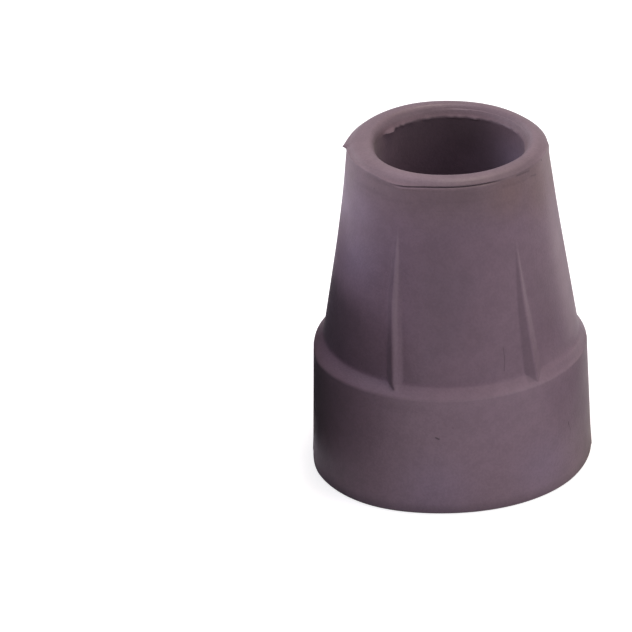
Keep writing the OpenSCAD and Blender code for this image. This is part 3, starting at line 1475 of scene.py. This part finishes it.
@dataclass
class Studio:
    """The pale floor, the soft lights, the light of the room and the two black cards. Sizes are in metres."""

    lights: list[Softbox]
    room: Colour = (0.91, 0.91, 1.0)
    room_strength: float = 0.385
    floor_bounce: float = 0.8
    floor_shade: float = 0.55
    floor_glow: float = 0.8
    floor_size: float = 6.0
    floor_z: float = -0.00002
    card_black: float = 0.02
    cards: tuple[Card, ...] = (
        Card("flag_left", (-0.0213, -0.0085, 0.0152), 0.0279, 0.051),
        Card("flag_right", (0.032, 0.0, 0.0075), 0.014, 0.03),
    )

    def build(self, target: Vector) -> None:
        """Builds the studio round the tip.

        Args:
            target: The tip's middle in metres.
        """
        world = bpy.data.worlds.new("studio_room")
        bpy.context.scene.world = world
        world.use_nodes = True
        Tree(world.node_tree).feed(world.node_tree.nodes["Background"], Color=(*self.room, 1.0),
                                   Strength=self.room_strength)
        bpy.ops.object.select_all(action="DESELECT")
        bpy.ops.mesh.primitive_plane_add(size=self.floor_size, location=(0.0, 0.0, self.floor_z))
        floor = bpy.context.object
        floor.name = "studio_floor"
        floor.data.materials.append(self.floor_material())
        for light in self.lights:
            light.build(target)
        card_material = self.card_material()
        for card in self.cards:
            card.build(card_material)

    def floor_material(self) -> bpy.types.Material:
        """Makes the pale floor, which throws back less light than it shows to the camera.

        Returns:
            The material.
        """
        mat = bpy.data.materials.new("pale_floor")
        mat.use_nodes = True
        tree, nodes = Tree(mat.node_tree), mat.node_tree.nodes
        nodes.remove(nodes["Principled BSDF"])
        glow = tree.add("Emission", Strength=self.floor_glow)
        paper = tree.add("BsdfDiffuse", Color=(*[self.floor_shade] * 3, 1.0))
        shown = tree.add("AddShader", in_0=glow.outputs["Emission"], in_1=paper.outputs["BSDF"])
        thrown = tree.add("BsdfDiffuse", Color=(*[self.floor_bounce] * 3, 1.0))
        path = tree.add("LightPath")
        mix = tree.add("MixShader", Fac=path.outputs["Is Camera Ray"], in_1=thrown.outputs["BSDF"],
                       in_2=shown.outputs["Shader"])
        tree.feed(nodes["Material Output"], Surface=mix.outputs["Shader"])
        return mat

    def card_material(self) -> bpy.types.Material:
        """Makes the dull black of the cards.

        Returns:
            The material.
        """
        mat = bpy.data.materials.new("black_card")
        mat.use_nodes = True
        Tree(mat.node_tree).feed(mat.node_tree.nodes["Principled BSDF"], Specular_IOR_Level=0.0,
                                 Base_Color=(*[self.card_black] * 3, 1.0))
        return mat


@dataclass
class StudioCamera:
    """The camera: where it stands, how it is turned, and how far from the picture's middle the tip lies.

    Angles are in degrees, lengths in mm. It stands off the point at aim_z on the tip's axis.
    """

    elevation: float = 26.7
    distance: float = 800.0
    lens: float = 356.0
    sensor: float = 36.0
    near: float = 10.0
    roll: float = 1.2
    aim_z: float = 20.0
    right: float = 17.1
    up: float = 0.85

    def build(self) -> bpy.types.Object:
        """Adds the camera and makes it the scene's.

        Returns:
            The camera.
        """
        e = math.radians(self.elevation)
        back = Vector((0.0, -math.cos(e), math.sin(e)))
        data = bpy.data.cameras.new("studio_camera")
        data.lens = self.lens
        data.sensor_width = self.sensor
        data.clip_start = self.near * MM
        camera = add_object("studio_camera", data)
        place = Vector((0.0, 0.0, self.aim_z * MM)) + back * self.distance * MM
        turned = back.to_track_quat("Z", "Y").to_matrix().to_4x4()
        roll = Matrix.Rotation(math.radians(-self.roll), 4, "Z")
        aim = Vector((-self.right, -self.up, -self.distance))
        swing = Vector((0.0, 0.0, -1.0)).rotation_difference(aim).to_matrix().to_4x4()
        camera.matrix_world = Matrix.Translation(place) @ turned @ roll @ swing
        bpy.context.scene.camera = camera
        return camera


def main() -> None:
    """Builds the tip and its studio."""
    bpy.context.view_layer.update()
    low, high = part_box(NODE)
    LOG.info("packed solid from %s to %s", low, high)
    section = Section(base_r=(high.x - low.x) / 2 / MM - BASE_INSET, top_z=high.z / MM)
    ribs = [
        GussetRib(((16.4, -24.2), (17.4, -25.8), (18.6, -26.2), (21.7, -27.1), (27.5, -28.8), (37.5, -28.8)),
                  half_base=0.85, slope=0.32, crest=0.25, blend=0.14, ridge_highlight=0.8),
        GussetRib(((17.0, 39.3), (19.4, 38.9), (23.2, 38.3), (27.3, 37.6), (35.6, 37.3))),
        GussetRib(((17.0, 152.75), (36.4, 152.75))),
        GussetRib(((17.0, 218.25), (36.4, 218.25))),
    ]
    tip = MouldedTip(section, RubberFinish(), ribs).build()
    LOG.info("%s: %d points, %d faces", tip.name, len(tip.data.vertices), len(tip.data.polygons))
    StudioCamera().build()
    Studio([
        Softbox("top_warm", 120.0, 76.0, 4.5, colour=(1.0, 0.826, 0.708)),
        Softbox("top_cool", -120.0, 76.0, 1.84, colour=(0.79, 0.71, 1.0)),
        Softbox("right_low", 60.0, 20.0, 1.3, colour=(0.96, 0.88, 1.0)),
        Softbox("left_cool", -90.0, 20.0, 2.3, colour=(0.887, 0.81, 1.0)),
        Softbox("back_left", -135.0, 20.0, 0.6),
    ]).build(Vector((0.0, 0.0, section.top_z * MM / 2)))
    bpy.context.scene.view_settings.view_transform = "Standard"


if __name__ == "__main__":
    logging.basicConfig(level=logging.INFO, format="%(name)s: %(message)s")
    main()
